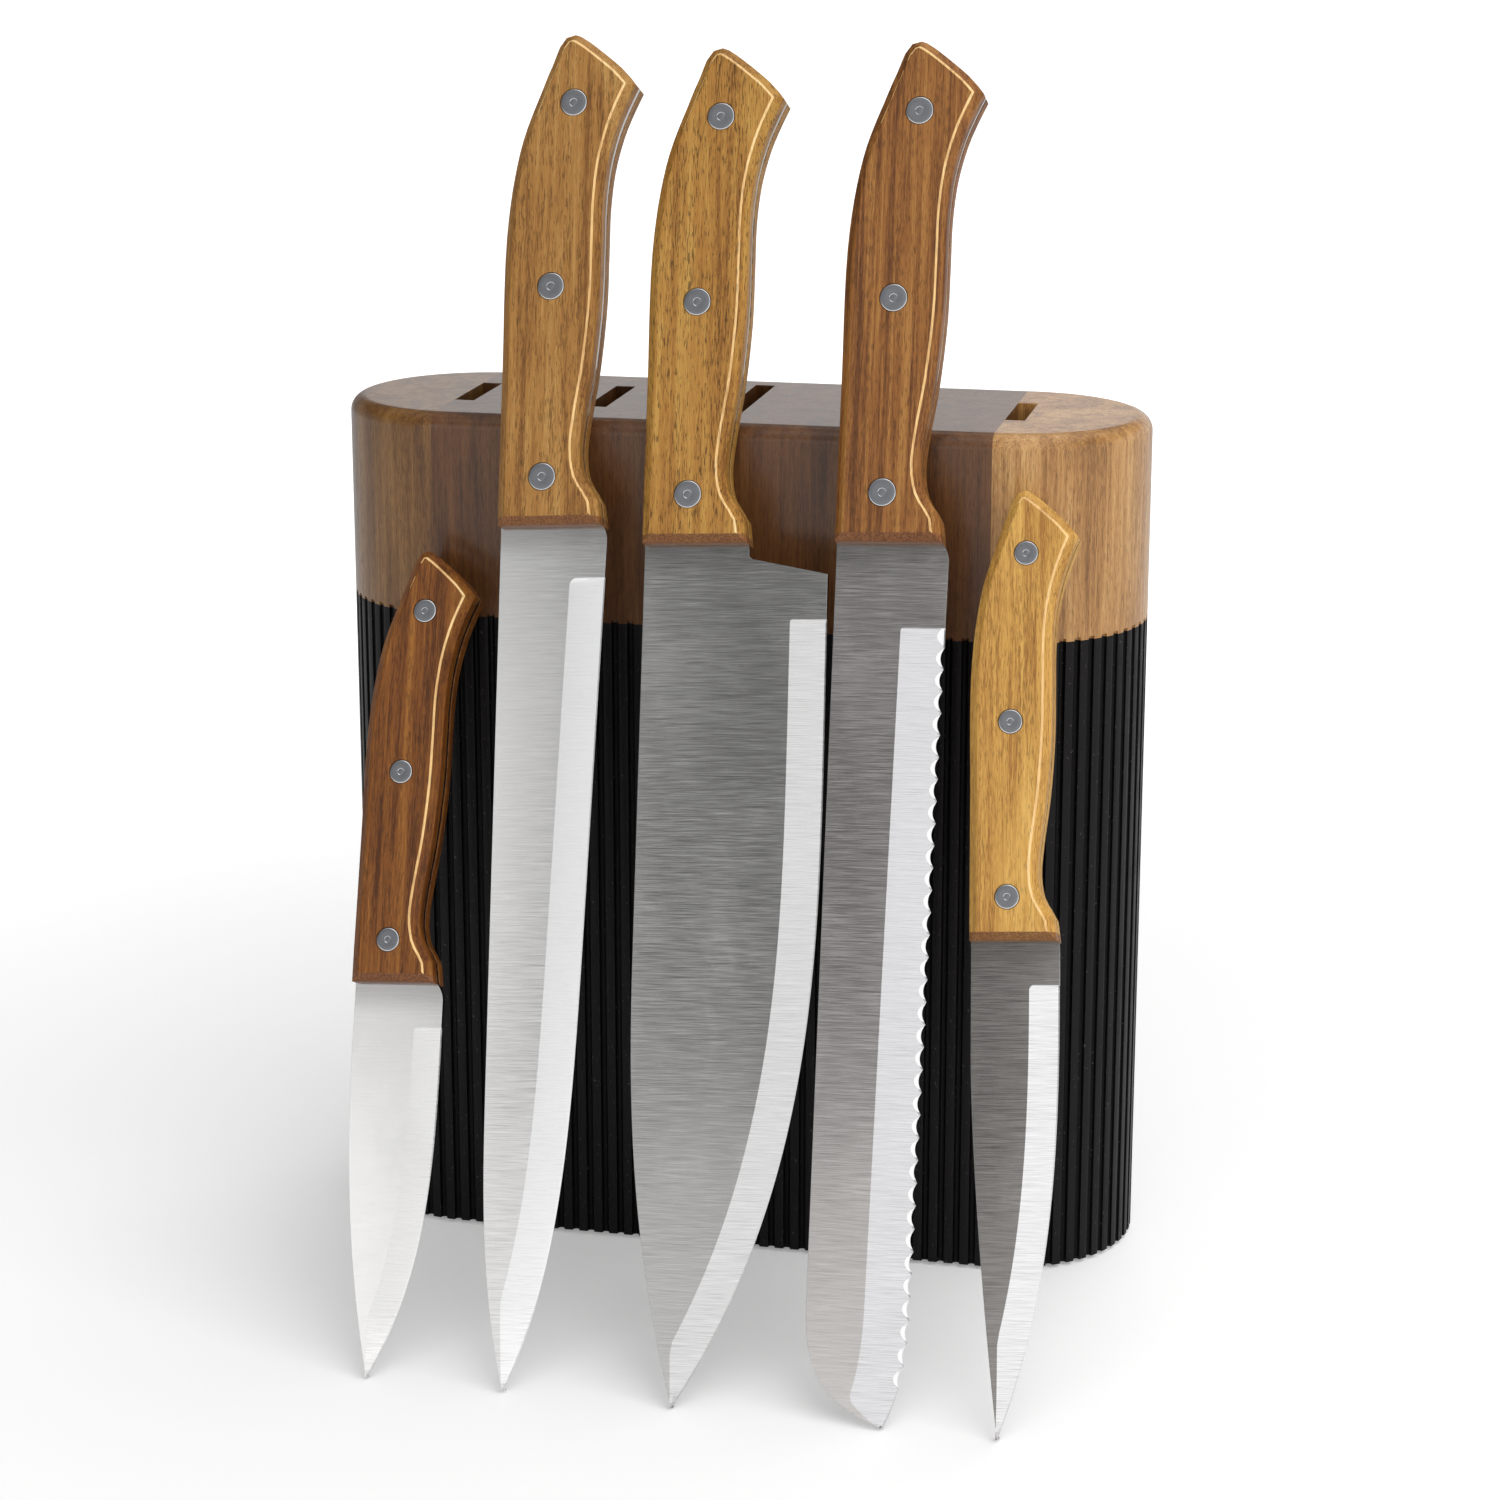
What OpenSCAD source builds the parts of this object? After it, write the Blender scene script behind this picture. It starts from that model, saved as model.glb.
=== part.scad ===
// Oval knife block with a fluted black body and an acacia cap, and its five riveted knives.
// Origin: centre of the underside, on the table. +X right, +Y back, +Z up.
// The knives stand in front of the block, tips down, and lean back against it.

/* [Block] */
// Overall width of the block, left to right
block_w = 205; // [190:1:250]
// Overall depth of the block, front to back; the ends are half circles of this diameter
block_d = 67; // [60:1:82]
// Height of the block's top face above the table
block_h = 215; // [210:1:260]
// Height of the glue line between the black body and the acacia cap
seam_h = 164; // [120:1:190]
// Radius of the rounded rim round the cap's top face
rim_r = 4; // [2:0.5:6]
// Thickness of the non-slip pad under the block
pad_t = 1; // [0.8:0.1:3]
// Distance from the pad's edge to the block's outline
pad_inset = 5; // [3:0.5:12]

/* [Slots] */
// Distance from one slot to the next
slot_pitch = 35; // [28:0.5:38]
// Room across a blade's thickness in its slot
slot_play = 2.8; // [2:0.1:4]
// Room in front of and behind a blade in its slot, together
slot_room = 3.5; // [2:0.5:6]
// Wood left under the slots
slot_floor = 8; // [4:0.5:9]

/* [Fluting] */
// Distance between flutes round the body
flute_pitch = 4; // [3.5:0.1:6]
// Radius of the cutter that makes the flutes
flute_r = 0.9; // [0.6:0.05:1.2]
// Depth of a flute
flute_depth = 1.1; // [0.6:0.05:1.3]
// Height to which the flutes run past the glue line
flute_runout = 0.8; // [0.4:0.1:2]

/* [Knives] */
// Blade length of the paring knife
paring_l = 93; // [75:1:112]
// Blade height at the heel of the paring knife
paring_w = 22; // [18:0.5:26]
// Blade length of the slicing knife
slicing_l = 205; // [170:1:206]
// Blade height at the heel of the slicing knife
slicing_w = 26.6; // [25:0.2:32]
// Blade length of the chef's knife
chef_l = 202.5; // [165:0.5:206]
// Blade height at the heel of the chef's knife
chef_w = 44.7; // [36:0.1:53]
// Blade length of the bread knife
bread_l = 205; // [170:1:206]
// Blade height at the heel of the bread knife
bread_w = 27; // [25:0.5:32]
// Blade length of the utility knife
utility_l = 113; // [95:1:135]
// Blade height at the heel of the utility knife
utility_w = 20.6; // [18:0.2:25]
// Thickness of the steel
steel_t = 2; // [1.6:0.1:2.6]
// Thickness of the ground edge
edge_t = 0.4; // [0.3:0.05:0.8]

/* [Handles] */
// Length of a large handle
large_handle_l = 122.5; // [100:0.5:148]
// Height of a large handle at its blade end
large_handle_w = 25.6; // [21:0.1:25.6]
// Length of a small handle
small_handle_l = 106.5; // [88:0.5:128]
// Height of a small handle at its blade end
small_handle_w = 20.5; // [17:0.5:21]
// Thickness of one handle scale
scale_t = 5.5; // [4.5:0.1:7]
// Width of the chamfer round a scale
scale_chamfer = 2; // [1:0.1:2.8]

/* [Rivets] */
// Head radius of the rivets in a large handle
large_head_r = 3.4; // [2.8:0.1:4.2]
// Head radius of the rivets in a small handle
small_head_r = 2.9; // [2.6:0.1:3.6]
// Outer radius of a rivet's tube
tube_r = 1.9; // [1.6:0.05:2.3]
// Radius of the pin inside the tube
pin_r = 1.2; // [0.8:0.05:1.3]
// Thickness of a rivet's head
head_t = 1.6; // [1.2:0.1:2.4]
// Gap all round a rivet in its hole
rivet_gap = 0.02; // [0.01:0.01:0.05]

/* [Standing place] */
// How far in front of the block the tips stand
tip_out = 91.5; // [85:0.5:100]
// Gap between a leaning knife and the block
lean_gap = 0.3; // [0.3:0.1:1]
// Height of the tips above the table
tip_rise = 0.5; // [0.5:0.1:1]

/* [Hidden] */
$fn = 96;

// Half the length of the block's straight sides, and the radius of its ends
end_r = block_d / 2;
straight = block_w / 2 - end_r;
rim_length = 4 * straight + 2 * PI * end_r;
slot_w = steel_t + slot_play;

// One knife: [name, tip's place along the table, sideways tilt, blade length, heel height,
//   height of the tip below the spine, where the spine starts to fall, how sharply it falls,
//   where the edge starts to rise, how sharply it rises, total taper of the blade's height,
//   width of the grind, distance from handle to grind, is the handle large]
paring = ["paring", -64.5, 3, paring_l, paring_w, 8.4, 0.91, 2.4, 0.91, 3.4, 0, 6.8, 10.5, false];
slicing = ["slicing", -31, 3.5, slicing_l, slicing_w, 6.3, 0.37, 3.3, 0.63, 4.4, 7.9, 8.6, 12.5, true];
chef = ["chef", 9.5, 3, chef_l, chef_w, 12.5, 0.52, 2.5, 0.81, 3.25, 0, 8.8, 18, true];
bread = ["bread", 59, 2, bread_l, bread_w, 18.7, 0.22, 6.5, 0.15, 3, 3.2, 10.6, 20, true];
utility = ["utility", 85.5, 4, utility_l, utility_w, 6.2, 0.75, 1.5, 1.05, 3.3, 0, 7, 10, false];

// Slots from left to right, each as long as the blade it holds plus its room
slot_blades = [paring_w, slicing_w, chef_w, bread_w, utility_w];
last_slot = len(slot_blades) - 1;
function slot_x(i) = (i - last_slot / 2) * slot_pitch;
function slot_l(i) = slot_blades[i] + slot_room;

// Stave i runs from the glue joint on its left, level with a slot's left wall, to the next
function joint_x(i) = i < 0 ? -block_w : i > last_slot ? block_w : slot_x(i) - slot_w / 2;

// Named entries of a knife
function tip_x(k) = k[1];
function tilt(k) = k[2];
function blade_l(k) = k[3];
function heel_w(k) = k[4];
function tip_drop(k) = k[5];
function grind_w(k) = k[11];
function grind_gap(k) = k[12];
function is_large(k) = k[13];
function handle_l(k) = is_large(k) ? large_handle_l : small_handle_l;
function handle_w(k) = is_large(k) ? large_handle_w : small_handle_w;
function head_r(k) = is_large(k) ? large_head_r : small_head_r;

// Spine and edge of a blade at height z above the tip, across from the spine line
function fall(z, from, power) = pow(max(0, 1 - z / from), power);
function spine_x(k, z) = tip_drop(k) * fall(z, k[6] * blade_l(k), k[7]);
function full_edge_x(k, z) = heel_w(k) - k[10] * (1 - z / blade_l(k));
function edge_x(k, z) =
    full_edge_x(k, z) - (full_edge_x(k, 0) - tip_drop(k)) * fall(z, k[8] * blade_l(k), k[9]);

// Where a blade is much higher than its handle, its heel slopes in to a short neck;
// elsewhere a small shoulder brings the blade to the handle's height
heel_slope = 3.7;
neck_l = 3.4;
shoulder_l = 4;
heel_overhang = 8;
function has_neck(k) = heel_w(k) > handle_w(k) + heel_overhang;
function shoulder_x(k, z) =
    edge_x(k, z) - (heel_w(k) - handle_w(k)) * fall(blade_l(k) - z, shoulder_l, 2);

// Outline of a blade from tip to handle, along the edge and along the spine
edge_steps = 36;
spine_steps = 24;
tip_half_w = 0.3;
function edge_line(k) =
    let (top = blade_l(k) - (has_neck(k) ? neck_l + heel_slope : shoulder_l))
    concat(
        [[tip_drop(k) + tip_half_w, 0]],
        [for (i = [1 : edge_steps])
            let (z = top * pow(i / edge_steps, 1.5)) [edge_x(k, z), z]],
        has_neck(k) ? [[handle_w(k) + 0.8, blade_l(k) - neck_l],
                       [handle_w(k), blade_l(k) - neck_l + 0.8]] :
            [for (up = [3 : -1 : 1])
                let (z = blade_l(k) - up * shoulder_l / 4) [shoulder_x(k, z), z]]);
function spine_line(k) = concat(
    [for (i = [spine_steps : -1 : 1])
        let (z = k[6] * blade_l(k) * pow(i / spine_steps, 1.5)) [spine_x(k, z), z]],
    [[tip_drop(k) - tip_half_w, 0]]);

// The grind: a wedge cut away along the edge, on the front face of the blade
grind_steps = 30;
grind_share = 0.72;
wedge_reach = 1;
function grind_top(k) = blade_l(k) - grind_gap(k);
function grind_ring(k, z) =
    let (at = max(0, z),
         edge = edge_x(k, at),
         width = min(grind_w(k), grind_share * (edge - spine_x(k, at)) + tip_half_w),
         slope = (steel_t - edge_t) / 2 / width,
         low = -steel_t / 2 - wedge_reach * slope,
         high = -edge_t / 2 + wedge_reach * slope,
         far = -steel_t / 2 - 2 * wedge_reach)
    [[edge - width - wedge_reach, far, z], [edge + wedge_reach, far, z],
     [edge + wedge_reach, min(high, 0), z], [edge - width - wedge_reach, low, z]];
module grind(k) {
    loft(concat([grind_ring(k, -wedge_reach)],
        [for (i = [0 : grind_steps]) grind_ring(k, grind_top(k) * pow(i / grind_steps, 1.5))]));
}

// One solid through a list of rings, each with as many points as the next. The two end
// rings are closed with strips across from side to side, which join cleanly
function strips(o, m) = concat(
    [for (j = [0 : floor(m / 2) - 2]) [o + j, o + j + 1, o + m - 2 - j, o + m - 1 - j]],
    m % 2 == 1 ? [[for (j = [-1 : 1]) o + (m - 1) / 2 + j]] : []);
function turned(faces) = [for (f = faces) [for (i = [len(f) - 1 : -1 : 0]) f[i]]];
module loft(rings) {
    m = len(rings[0]);
    last = len(rings) - 1;
    polyhedron(
        points = [for (ring = rings) each ring],
        faces = concat(
            strips(0, m),
            turned(strips(last * m, m)),
            [for (i = [0 : last - 1], j = [0 : m - 1])
                [i * m + j, (i + 1) * m + j, (i + 1) * m + (j + 1) % m]],
            [for (i = [0 : last - 1], j = [0 : m - 1])
                [i * m + j, (i + 1) * m + (j + 1) % m, i * m + (j + 1) % m]]),
        convexity = 6);
}

// Smooth curve through points: n steps between each two of them
function between(p0, p1, p2, p3, t) =
    0.5 * (2 * p1 + (p2 - p0) * t + (2 * p0 - 5 * p1 + 4 * p2 - p3) * t * t
        + (3 * p1 - p0 - 3 * p2 + p3) * t * t * t);
function smooth(pts, n) =
    let (last = len(pts) - 1)
    [for (i = [0 : last - 1], s = [0 : n - 1])
        between(pts[max(0, i - 1)], pts[i], pts[i + 1], pts[min(last, i + 2)], s / n)];

// Outline of a handle, as shares of its height at the blade and of its length: the belly
// from the foot to the hook, then the butt from the hook over the peak and down the back.
// No point lies closer to the foot's or the hook's corner than the chamfer is wide, and the
// two sides have as many points each, at like heights, for the strips across.
belly = [[1, 0], [0.967, 0.048], [0.9, 0.072], [0.82, 0.1], [0.782, 0.15], [0.812, 0.22],
    [0.885, 0.325], [0.935, 0.45], [0.944, 0.56], [0.948, 0.65], [0.985, 0.73], [1.065, 0.8],
    [1.16, 0.852]];
hook = [1.245, 0.89];
butt = [[1.1, 0.926], [0.78, 0.982], [0.64, 0.998], [0.55, 0.993], [0.485, 0.974],
    [0.425, 0.94], [0.33, 0.89], [0.12, 0.76], [0.01, 0.58], [0.004, 0.32], [0.002, 0.17],
    [0, 0.075]];
curve_steps = 2;
function handle_shares() = concat(
    smooth(concat(belly, [hook]), curve_steps),
    smooth(concat([hook], butt, [[0, 0]]), curve_steps),
    [[0, 0]]);
function handle_outline(k) =
    [for (p = handle_shares()) [p[0] * handle_w(k), p[1] * handle_l(k)]];

// The outline moved inwards by d, each corner along its two sides' bisector
function side_normal(a, b) = let (v = b - a) [-v[1], v[0]] / norm(v);
function inset(pts, d) =
    let (n = len(pts))
    [for (i = [0 : n - 1])
        let (before = side_normal(pts[(i + n - 1) % n], pts[i]),
             after = side_normal(pts[i], pts[(i + 1) % n]))
        pts[i] + d * (before + after) / (1 + before * after)];
function at_height(pts, h) = [for (p = pts) [p[0], p[1], h]];

// Rivets along a handle, as shares of its length and of its height at the blade
rivet_places = [[0.094, 0.44], [0.478, 0.477], [0.853, 0.656]];
function rivet_points(k) = [for (p = rivet_places) [p[1] * handle_w(k), p[0] * handle_l(k)]];

// Places one cylinder at each rivet of a knife, from depth y0 to y1 across the handle
module at_rivets(k, r, y0, y1) {
    for (p = rivet_points(k))
        translate([p[0], y0, blade_l(k) + p[1]])
            rotate([-90, 0, 0])
                cylinder(r = r, h = y1 - y0);
}

// How a knife leans: its back face stops short of the block's rim, or, if the knife is
// shorter than the block, the top of its handle stops short of the block's front
half_handle_t = steel_t / 2 + scale_t;
function knife_l(k) = blade_l(k) + handle_l(k);
function butt_x(k) = tip_x(k) + handle_w(k) * 0.6 - tip_drop(k) - knife_l(k) * sin(tilt(k));
function front_y(x) = -sqrt(pow(end_r, 2) - pow(max(0, abs(x) - straight), 2));
tips_y = -end_r - tip_out;
rim_reach = norm([tip_out + rim_r, block_h - rim_r - tip_rise]);
rim_lean = acos((rim_r + half_handle_t + lean_gap) / rim_reach)
    - atan2(block_h - rim_r - tip_rise, tip_out + rim_r);
function butt_lean(k) =
    asin((front_y(butt_x(k)) - tips_y - lean_gap) / norm([knife_l(k), half_handle_t]))
        - atan2(half_handle_t, knife_l(k));
function is_tall(k) = knife_l(k) * cos(rim_lean) > block_h;
function lean(k) = is_tall(k) ? rim_lean : butt_lean(k);

// Stands a knife, drawn with its tip at the origin and its butt up, in its place
module in_place(k) {
    translate([tip_x(k), tips_y, tip_rise])
        rotate([-lean(k), 0, 0])
            rotate([0, -tilt(k), 0])
                translate([-tip_drop(k), 0, 0])
                    children();
}

// Flutes: evenly round the outline, the first half a pitch from the middle of the front
flute_count = 2 * round(rim_length / flute_pitch / 2);
flute_out = end_r + flute_r - flute_depth;
function flute_run(i) = (i + 0.5) * rim_length / flute_count;
function quarter(s) =
    s < straight ? [s, -flute_out] :
    let (turn = (s - straight) / end_r * 180 / PI)
    [straight + flute_out * sin(turn), -flute_out * cos(turn)];
function flute_xy(i) =
    let (s = flute_run(i), half = rim_length / 2, across = s > half,
         rest = across ? rim_length - s : s, front = rest < half / 2,
         p = quarter(front ? rest : half - rest))
    [across ? -p[0] : p[0], front ? p[1] : -p[1]];
function flutes_on(i) =
    [for (f = [0 : flute_count - 1])
        let (p = flute_xy(f))
        if (p[0] > joint_x(i - 1) - 2 * flute_r && p[0] < joint_x(i) + 2 * flute_r) p];

module oval(r) {
    square([2 * straight, 2 * r], center = true);
    for (side = [-1, 1])
        translate([side * straight, 0])
            circle(r = r);
}

// Section through the cap's edge, from the middle outwards
module rim_section(h) {
    square([end_r - rim_r, h]);
    square([end_r, h - rim_r]);
    translate([end_r - rim_r, h - rim_r])
        circle(r = rim_r);
}

module cap_solid() {
    h = block_h - seam_h;
    translate([0, 0, seam_h]) {
        for (side = [-1, 1])
            translate([side * straight, 0, 0])
                rotate_extrude()
                    rim_section(h);
        for (turn = [0, 180])
            rotate([0, 0, turn])
                translate([-straight, 0, 0])
                    rotate([90, 0, 90])
                        linear_extrude(2 * straight)
                            rim_section(h);
    }
}

module stave_slab(i) {
    translate([joint_x(i - 1), -block_d, 0])
        cube([joint_x(i) - joint_x(i - 1), 2 * block_d, 2 * block_h]);
}

// The slot that is cut into the left face of stave i
module slot_cut(i) {
    if (i > 0)
        translate([joint_x(i - 1) - slot_w, -slot_l(i - 1) / 2, slot_floor])
            cube([2 * slot_w, slot_l(i - 1), block_h]);
}

module cap_stave(i) {
    color(i % 2 == 0 ? "#a9835a" : "#8f6a48")
        difference() {
            intersection() {
                cap_solid();
                stave_slab(i);
            }
            slot_cut(i);
            for (p = flutes_on(i))
                translate([p[0], p[1], seam_h - flute_runout])
                    cylinder(r = flute_r, h = 2 * flute_runout, $fn = 32);
        }
}

module body_stave(i) {
    color("#1d1c1e")
        difference() {
            translate([0, 0, pad_t])
                linear_extrude(seam_h - pad_t)
                    difference() {
                        intersection() {
                            oval(end_r);
                            translate([joint_x(i - 1), -block_d])
                                square([joint_x(i) - joint_x(i - 1), 2 * block_d]);
                        }
                        for (p = flutes_on(i))
                            translate(p)
                                circle(r = flute_r, $fn = 32);
                    }
            slot_cut(i);
        }
}

module base_pad() {
    color("#2a2a2a")
        linear_extrude(pad_t)
            oval(end_r - pad_inset);
}

// Scallops along the edge of a serrated blade
scallop_pitch = 5.2;
scallop_r = 3.6;
scallop_depth = 0.9;
plain_tip = 9;
module scallops(k) {
    count = floor((grind_top(k) - plain_tip - scallop_pitch / 2) / scallop_pitch);
    for (i = [0 : count - 1]) {
        z = plain_tip + (i + 0.5) * scallop_pitch;
        translate([edge_x(k, z) + scallop_r - scallop_depth, -steel_t, z])
            rotate([-90, 0, 0])
                cylinder(r = scallop_r, h = 2 * steel_t);
    }
}

// Blade and full tang in one piece of steel
module blade(k, serrated = false) {
    tang = [for (p = handle_outline(k)) [p[0], blade_l(k) + p[1]]];
    color("#b9babd")
        in_place(k)
            difference() {
                translate([0, steel_t / 2, 0])
                    rotate([90, 0, 0])
                        linear_extrude(steel_t)
                            polygon(concat(edge_line(k), tang, spine_line(k)));
                grind(k);
                mirror([0, 1, 0])
                    grind(k);
                at_rivets(k, tube_r + rivet_gap, -steel_t, steel_t);
                if (serrated)
                    scallops(k);
            }
}

// A handle scale on the front of the tang, drawn in the knife's own frame
module scale_shape(k) {
    outline = handle_outline(k);
    difference() {
        translate([0, 0, blade_l(k)])
            rotate([90, 0, 0])
                loft([at_height(outline, steel_t / 2),
                      at_height(outline, half_handle_t - scale_chamfer),
                      at_height(inset(outline, scale_chamfer), half_handle_t)]);
        at_rivets(k, tube_r + rivet_gap, -half_handle_t - 1, 0);
        at_rivets(k, head_r(k) + rivet_gap, -half_handle_t - 1, head_t - half_handle_t);
    }
}

module front_scale(k) {
    color("#b9874a")
        in_place(k)
            scale_shape(k);
}

module back_scale(k) {
    color("#b9874a")
        in_place(k)
            mirror([0, 1, 0])
                scale_shape(k);
}

// Front halves of the rivets: a head and a tube that passes through scale, tang and scale
module rivet_tubes(k) {
    color("#8d8f93")
        in_place(k)
            difference() {
                union() {
                    at_rivets(k, head_r(k), -half_handle_t, head_t - half_handle_t);
                    at_rivets(k, tube_r, -half_handle_t, half_handle_t - head_t);
                }
                at_rivets(k, pin_r + rivet_gap, head_t - half_handle_t, half_handle_t);
            }
}

// Back halves of the rivets: a head and a pin pressed into the tube
module rivet_pins(k) {
    color("#8d8f93")
        in_place(k) {
            at_rivets(k, head_r(k), half_handle_t - head_t, half_handle_t);
            at_rivets(k, pin_r, head_t - half_handle_t + rivet_gap, half_handle_t);
        }
}

base_pad();
body_stave(0);  // body_stave_1
body_stave(1);  // body_stave_2
body_stave(2);  // body_stave_3
body_stave(3);  // body_stave_4
body_stave(4);  // body_stave_5
body_stave(5);  // body_stave_6
cap_stave(0);  // cap_stave_1
cap_stave(1);  // cap_stave_2
cap_stave(2);  // cap_stave_3
cap_stave(3);  // cap_stave_4
cap_stave(4);  // cap_stave_5
cap_stave(5);  // cap_stave_6
blade(paring);  // paring_blade
front_scale(paring);  // paring_front_scale
back_scale(paring);  // paring_back_scale
rivet_tubes(paring);  // paring_rivet_tubes
rivet_pins(paring);  // paring_rivet_pins
blade(slicing);  // slicing_blade
front_scale(slicing);  // slicing_front_scale
back_scale(slicing);  // slicing_back_scale
rivet_tubes(slicing);  // slicing_rivet_tubes
rivet_pins(slicing);  // slicing_rivet_pins
blade(chef);  // chef_blade
front_scale(chef);  // chef_front_scale
back_scale(chef);  // chef_back_scale
rivet_tubes(chef);  // chef_rivet_tubes
rivet_pins(chef);  // chef_rivet_pins
blade(bread, serrated = true);  // bread_blade
front_scale(bread);  // bread_front_scale
back_scale(bread);  // bread_back_scale
rivet_tubes(bread);  // bread_rivet_tubes
rivet_pins(bread);  // bread_rivet_pins
blade(utility);  // utility_blade
front_scale(utility);  // utility_front_scale
back_scale(utility);  // utility_back_scale
rivet_tubes(utility);  // utility_rivet_tubes
rivet_pins(utility);  // utility_rivet_pins
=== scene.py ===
# Oval knife block with a fluted black body, an acacia cap and five riveted knives.
# Everything is in metres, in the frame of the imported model: +X right, +Y back, +Z up.
import math

import bmesh
import bpy
from mathutils import Matrix, Vector


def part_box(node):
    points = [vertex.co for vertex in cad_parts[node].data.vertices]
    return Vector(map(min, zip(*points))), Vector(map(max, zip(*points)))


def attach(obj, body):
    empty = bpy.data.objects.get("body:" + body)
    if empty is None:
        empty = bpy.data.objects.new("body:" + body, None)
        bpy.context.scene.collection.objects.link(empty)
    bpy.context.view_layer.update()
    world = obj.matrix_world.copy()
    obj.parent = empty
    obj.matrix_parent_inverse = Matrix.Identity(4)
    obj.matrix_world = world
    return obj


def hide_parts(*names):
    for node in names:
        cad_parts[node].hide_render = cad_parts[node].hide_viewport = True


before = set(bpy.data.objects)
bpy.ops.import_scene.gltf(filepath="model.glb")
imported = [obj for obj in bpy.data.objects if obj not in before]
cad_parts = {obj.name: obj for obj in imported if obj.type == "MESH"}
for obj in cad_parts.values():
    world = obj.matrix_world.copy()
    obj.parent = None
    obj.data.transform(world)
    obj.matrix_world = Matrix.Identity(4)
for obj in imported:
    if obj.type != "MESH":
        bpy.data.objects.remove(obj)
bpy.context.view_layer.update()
MM = 0.001

# ---------------------------------------------------------------- sizes
block_low, block_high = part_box("body_stave_1")[0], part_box("cap_stave_6")[1]
block_w = block_high[0] - block_low[0]
block_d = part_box("cap_stave_3")[1][1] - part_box("cap_stave_3")[0][1]
block_h = block_high[2]
seam_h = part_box("cap_stave_3")[0][2]
pad_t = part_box("base_pad")[1][2]
end_r = block_d / 2
straight = block_w / 2 - end_r
joints_x = [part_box("cap_stave_%d" % i)[1][0] for i in range(1, 6)]

rim_r = 4 * MM
slot_w = 4.8 * MM
slot_room = 3.5 * MM
slot_floor = 8 * MM
flute_r = 0.9 * MM
flute_depth = 1.1 * MM
flute_runout = 0.8 * MM
flute_pitch = 4 * MM

steel_t = 2 * MM
scale_t = 5.5 * MM
half_t = steel_t / 2 + scale_t
chamfer = 2 * MM
head_t = 1.6 * MM
tip_out = 91.5 * MM
tips_y = -end_r - tip_out
tip_rise = 0.5 * MM
lean_gap = 0.3 * MM
arris_w = 0.32 * MM
edge_w = 0.3 * MM
rivet_play = 0.09 * MM

# One knife, in millimetres: where its tip stands, its sideways tilt in degrees, blade length,
# heel height, tip below the spine, spine fall (start, power), edge rise (start, power),
# taper of the blade's height, width of the grind, gap from handle to grind, corner of the
# grind, size of handle
KNIVES = {
    "paring": dict(x=-64.5, tilt=3, l=93, w=22, drop=8.4, fall=(0.91, 2.4),
                   rise=(0.91, 3.4), taper=0, grind=6.8, gap=10.5, corner=0.7, size="small"),
    "slicing": dict(x=-31, tilt=3.5, l=205, w=26.6, drop=6.3, fall=(0.37, 3.3),
                    rise=(0.63, 4.4), taper=7.9, grind=8.6, gap=12.5, corner=1.8, size="large"),
    "chef": dict(x=9.5, tilt=3, l=202.5, w=44.7, drop=12.5, fall=(0.52, 2.5),
                 rise=(0.81, 3.25), taper=0, grind=8.8, gap=18, corner=0.7, size="large"),
    "bread": dict(x=59, tilt=2, l=205, w=27, drop=18.7, fall=(0.22, 6.5),
                  rise=(0.15, 3), taper=3.2, grind=10.6, gap=20, corner=0.6, size="large"),
    "utility": dict(x=85.5, tilt=4, l=113, w=20.6, drop=6.2, fall=(0.75, 1.5),
                    rise=(1.05, 3.3), taper=0, grind=7, gap=10, corner=1.2, size="small"),
}
HANDLES = {
    "large": dict(l=122.5, w=25.6, head=3.4),
    "small": dict(l=106.5, w=20.5, head=2.9),
}
SLOTS = ["paring", "slicing", "chef", "bread", "utility"]
RIVETS = [(0.094, 0.44), (0.478, 0.477), (0.853, 0.656)]


def lean_of(k):
    """How far a knife leans back: on the rim if it is taller than the block, else its butt
    on the block's front."""
    h = HANDLES[k["size"]]
    run, up = (tip_out + rim_r) / MM, (block_h - rim_r - tip_rise) / MM
    away = (rim_r + half_t + lean_gap) / MM
    on_rim = math.acos(away / math.hypot(run, up)) - math.atan2(up, run)
    length = k["l"] + h["l"]
    if length * math.cos(on_rim) > block_h / MM:
        return on_rim
    tilt = math.radians(k["tilt"])
    butt = k["x"] + h["w"] * 0.6 - k["drop"] - length * math.sin(tilt)
    side = max(0, abs(butt) - straight / MM)
    front = -math.sqrt((end_r / MM) ** 2 - side ** 2)
    away = front - (tips_y + lean_gap) / MM
    thick = half_t / MM
    return math.asin(away / math.hypot(length, thick)) - math.atan2(thick, length)


def standing(k):
    """Matrix that stands a knife, made with its spine at x = 0 and its tip at z = 0."""
    return (Matrix.Translation((k["x"] * MM, tips_y, tip_rise))
            @ Matrix.Rotation(-lean_of(k), 4, "X")
            @ Matrix.Rotation(-math.radians(k["tilt"]), 4, "Y")
            @ Matrix.Translation((-k["drop"] * MM, 0, 0)))


# ---------------------------------------------------------------- bench work
def only(piece):
    """Makes a piece the only one selected and active, out of edit mode."""
    if bpy.context.object and bpy.context.object.mode != "OBJECT":
        bpy.ops.object.mode_set(mode="OBJECT")
    bpy.ops.object.select_all(action="DESELECT")
    piece.select_set(True)
    bpy.context.view_layer.objects.active = piece


def named(name):
    """Names the piece just added."""
    piece = bpy.context.object
    piece.name = name
    piece.data.name = name
    return piece


def on_bench(piece, kind="VERT"):
    """Opens a piece for editing with nothing selected."""
    only(piece)
    bpy.ops.object.mode_set(mode="EDIT")
    bpy.ops.mesh.select_mode(type=kind)
    bpy.ops.mesh.select_all(action="DESELECT")


def off_bench():
    bpy.ops.object.mode_set(mode="OBJECT")


def pick_verts(piece, test):
    bm = bmesh.from_edit_mesh(piece.data)
    for v in bm.verts:
        v.select = bool(test(v.co))
    bm.select_flush_mode()
    bmesh.update_edit_mesh(piece.data)


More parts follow.
